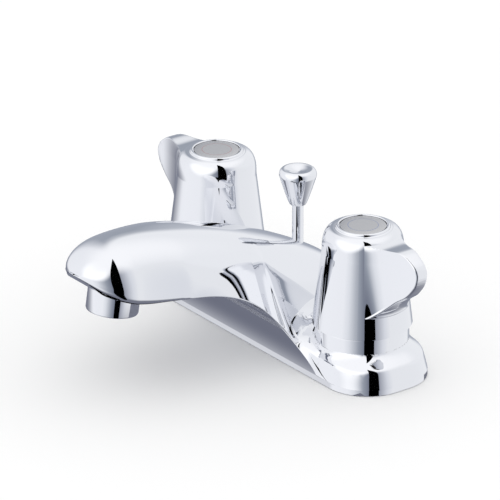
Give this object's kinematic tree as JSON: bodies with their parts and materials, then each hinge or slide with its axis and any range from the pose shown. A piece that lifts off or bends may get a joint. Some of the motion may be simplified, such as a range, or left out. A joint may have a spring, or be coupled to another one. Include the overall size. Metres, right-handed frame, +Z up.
{
  "type": "centerset bathroom faucet",
  "caption": "Chrome centerset basin faucet with an arched cast spout, winged quarter-turn handles and a drain lift rod.",
  "frame": {"origin": "on the deck's underside, midway between the two valve axes", "axes": "+Z up, +X to the cold side, -Y towards the spout's outlet and the user"},
  "size_m": [0.175, 0.1326, 0.1516],
  "materials": {
    "chrome_plate": "polished",
    "satin_grey": "satin",
    "brass": "machined",
    "zinc_steel": "zinc plated",
    "rubber": "matte",
    "ceramic": "ground ceramic",
    "white_plastic": "moulded",
    "foam": "foam"
  },
  "bodies": {
    "root": {"faucet_body": "chrome_plate", "deck_gasket": "foam", "aerator_housing": "chrome_plate", "aerator_insert": "white_plastic", "aerator_washer": "rubber", "rod_bush": "white_plastic", "hot_fixed_disc": "ceramic", "hot_seat_seal": "rubber", "hot_cartridge": "brass", "hot_cartridge_o_ring": "rubber", "hot_bonnet_nut": "brass", "hot_inlet_shank": "brass", "hot_shank_washer": "zinc_steel", "hot_shank_locknut": "brass", "cold_fixed_disc": "ceramic", "cold_seat_seal": "rubber", "cold_cartridge": "brass", "cold_cartridge_o_ring": "rubber", "cold_bonnet_nut": "brass", "cold_inlet_shank": "brass", "cold_shank_washer": "zinc_steel", "cold_shank_locknut": "brass"},
    "hot_handle_body": {"hot_handle": "chrome_plate", "hot_index_button": "satin_grey", "hot_handle_screw": "brass", "hot_stem": "brass", "hot_stem_o_ring": "rubber", "hot_moving_disc": "ceramic"},
    "cold_handle_body": {"cold_handle": "chrome_plate", "cold_index_button": "satin_grey", "cold_handle_screw": "brass", "cold_stem": "brass", "cold_stem_o_ring": "rubber", "cold_moving_disc": "ceramic"},
    "lift_rod_body": {"lift_rod": "chrome_plate", "lift_knob": "chrome_plate"}
  },
  "joints": [
    {"name": "hot_turn", "type": "hinge", "parent": "root", "child": "hot_handle_body", "pos_m": [-0.0508, 0, 0.0218], "axis": [0, 0, 1], "range_deg": [0, 90]},
    {"name": "cold_turn", "type": "hinge", "parent": "root", "child": "cold_handle_body", "pos_m": [0.0508, 0, 0.0218], "axis": [0, 0, -1], "range_deg": [0, 90]},
    {"name": "rod_lift", "type": "slide", "parent": "root", "child": "lift_rod_body", "axis": [0, 0, 1], "range_m": [-0.014, 0.012]}
  ]
}
